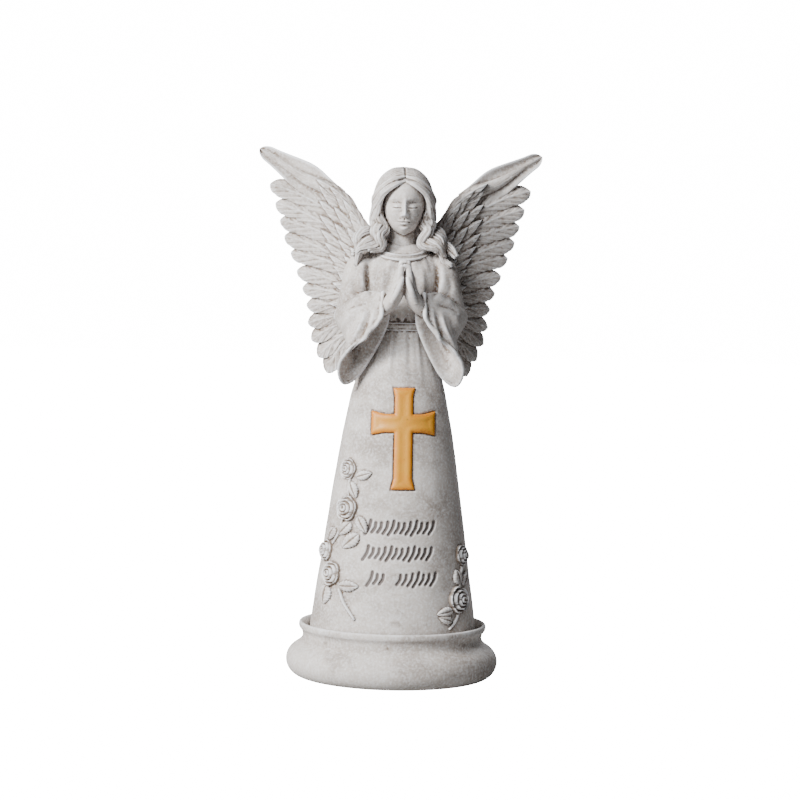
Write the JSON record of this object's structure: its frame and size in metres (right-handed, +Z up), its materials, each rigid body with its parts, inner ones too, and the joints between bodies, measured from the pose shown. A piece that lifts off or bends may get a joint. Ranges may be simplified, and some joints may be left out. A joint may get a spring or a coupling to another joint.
{
  "type": "memorial angel statue",
  "caption": "Small praying angel for a grave or garden: spread feathered wings, bell sleeves, rose sprays and an amber cross on a plain long robe, on an oval moulded plinth",
  "frame": {"origin": "centre of the plinth's flat underside, where the statue rests", "axes": "+Z up, towards the wing tips; the figure faces -Y, so +Y is its back; +X is the viewer's right and the figure's left hand"},
  "size_m": [0.159, 0.1024, 0.2944],
  "materials": {
    "stone_resin": "cast resin with a stone-like, washed and slightly speckled face",
    "amber_resin": "satin amber resin, slightly translucent"
  },
  "bodies": {
    "root": {"angel_figure": "stone_resin", "plinth": "stone_resin", "cross_inlay": "amber_resin"}
  },
  "joints": []
}
